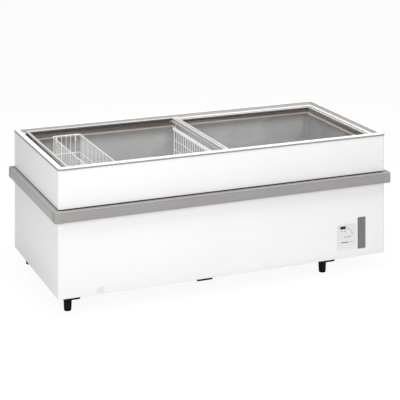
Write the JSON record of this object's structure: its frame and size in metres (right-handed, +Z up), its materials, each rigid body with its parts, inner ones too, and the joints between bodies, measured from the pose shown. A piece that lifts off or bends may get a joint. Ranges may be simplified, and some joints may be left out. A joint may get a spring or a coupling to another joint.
{
  "type": "island chest freezer",
  "caption": "Low island chest freezer on levelling feet, with sliding glass lids on a stepped rail, a wrap-round bumper, a hanging wire basket and a front control panel.",
  "frame": {"origin": "on the floor, under the middle of the cabinet's footprint", "axes": "+X along the length towards the machine compartment, -Y is the front with the control panel, +Z up"},
  "size_m": [2.098, 1.008, 0.809],
  "materials": {
    "white_shell_paint": "smooth white powder coat",
    "white_plastic": "satin white plastic",
    "liner_paint": "light grey coated sheet",
    "galvanised_sheet": "galvanised",
    "foam": "rigid foam, matt",
    "bumper_aluminium": "satin anodised silver grey",
    "bumper_cap_plastic": "moulded grey plastic",
    "rail_aluminium": "satin grey-brown",
    "black_steel": "black paint",
    "black_plastic": "matt black",
    "display_black": "glossy black window",
    "grey_plastic": "matt mid grey",
    "key_plastic": "matt light grey",
    "drain_plastic": "grey pipe",
    "lid_glass": "clear tempered glass",
    "seal_rubber": "black rubber",
    "coated_wire": "white plastic-coated wire",
    "copper": "copper tube"
  },
  "bodies": {
    "cabinet": {"lower_shell": "white_shell_paint", "upper_shell": "white_shell_paint", "waist_band": "galvanised_sheet", "base_pan": "galvanised_sheet", "insulation": "foam", "inner_liner": "liner_paint", "beam_left": "black_steel", "beam_centre": "black_steel", "beam_right": "black_steel", "bumper_front": "bumper_aluminium", "bumper_back": "bumper_aluminium", "bumper_left": "bumper_aluminium", "bumper_right": "bumper_aluminium", "bumper_corner_front_left": "bumper_cap_plastic", "bumper_corner_front_right": "bumper_cap_plastic", "bumper_corner_back_left": "bumper_cap_plastic", "bumper_corner_back_right": "bumper_cap_plastic", "rim_cap": "white_plastic", "rim_trim": "bumper_aluminium", "rail_front": "rail_aluminium", "rail_back": "rail_aluminium", "rail_left": "rail_aluminium", "rail_right": "rail_aluminium", "vent_grille": "grey_plastic", "rear_cover": "white_shell_paint", "control_bezel": "white_plastic", "display_window": "display_black", "controller_box": "black_plastic", "compressor": "black_steel", "start_relay_box": "black_plastic", "filter_drier": "copper", "condenser": "galvanised_sheet", "fan_shroud": "galvanised_sheet", "fan_motor": "black_steel", "evaporator_coil": "copper", "drain_pipe": "drain_plastic", "power_cord": "black_plastic"},
    "left_lid": {"left_lid_front_runner": "white_plastic", "left_lid_back_runner": "white_plastic", "left_lid_end_bar": "white_plastic", "left_lid_handle_bar": "white_plastic", "left_lid_glass": "lid_glass", "lid_seal_strip": "seal_rubber"},
    "right_lid": {"right_lid_front_runner": "white_plastic", "right_lid_back_runner": "white_plastic", "right_lid_end_bar": "white_plastic", "right_lid_handle_bar": "white_plastic", "right_lid_glass": "lid_glass"},
    "basket": {"wire_basket": "coated_wire"},
    "divider": {"divider_bar": "white_plastic", "divider_grid": "coated_wire"},
    "key_minus": {"key_minus": "key_plastic"},
    "key_set": {"key_set": "key_plastic"},
    "key_plus": {"key_plus": "key_plastic"},
    "fan": {"fan_blade": "black_plastic"},
    "drain_plug": {"drain_cap": "white_plastic"},
    "foot_front_left": {"foot_front_left": "black_plastic"},
    "foot_front_right": {"foot_front_right": "black_plastic"},
    "foot_back_left": {"foot_back_left": "black_plastic"},
    "foot_back_right": {"foot_back_right": "black_plastic"}
  },
  "joints": [
    {"name": "left_lid_slide", "type": "slide", "parent": "cabinet", "child": "left_lid", "axis": [1, 0, 0], "range_m": [0, 0.945]},
    {"name": "right_lid_slide", "type": "slide", "parent": "cabinet", "child": "right_lid", "axis": [-1, 0, 0], "range_m": [0, 0.9]},
    {"name": "basket_slide", "type": "slide", "parent": "cabinet", "child": "basket", "axis": [1, 0, 0], "range_m": [-0.1, 0.28]},
    {"name": "divider_slide", "type": "slide", "parent": "cabinet", "child": "divider", "axis": [1, 0, 0], "range_m": [-0.28, 0.6]},
    {"name": "key_minus_press", "type": "slide", "parent": "cabinet", "child": "key_minus", "axis": [0, 1, 0], "range_m": [0, 0.001]},
    {"name": "key_set_press", "type": "slide", "parent": "cabinet", "child": "key_set", "axis": [0, 1, 0], "range_m": [0, 0.001]},
    {"name": "key_plus_press", "type": "slide", "parent": "cabinet", "child": "key_plus", "axis": [0, 1, 0], "range_m": [0, 0.001]},
    {"name": "fan_spin", "type": "hinge", "parent": "cabinet", "child": "fan", "pos_m": [0.84, -0.285, 0.215], "axis": [0, 1, 0], "continuous": true},
    {"name": "drain_plug_pull", "type": "slide", "parent": "cabinet", "child": "drain_plug", "axis": [0, -1, 0], "range_m": [0, 0.03]},
    {"name": "foot_front_left_turn", "type": "hinge", "parent": "cabinet", "child": "foot_front_left", "pos_m": [-0.945, -0.4, 0.03], "axis": [0, 0, 1], "continuous": true},
    {"name": "foot_front_right_turn", "type": "hinge", "parent": "cabinet", "child": "foot_front_right", "pos_m": [0.636, -0.4, 0.03], "axis": [0, 0, 1], "continuous": true},
    {"name": "foot_back_left_turn", "type": "hinge", "parent": "cabinet", "child": "foot_back_left", "pos_m": [-0.945, 0.4, 0.03], "axis": [0, 0, 1], "continuous": true},
    {"name": "foot_back_right_turn", "type": "hinge", "parent": "cabinet", "child": "foot_back_right", "pos_m": [0.636, 0.4, 0.03], "axis": [0, 0, 1], "continuous": true}
  ]
}
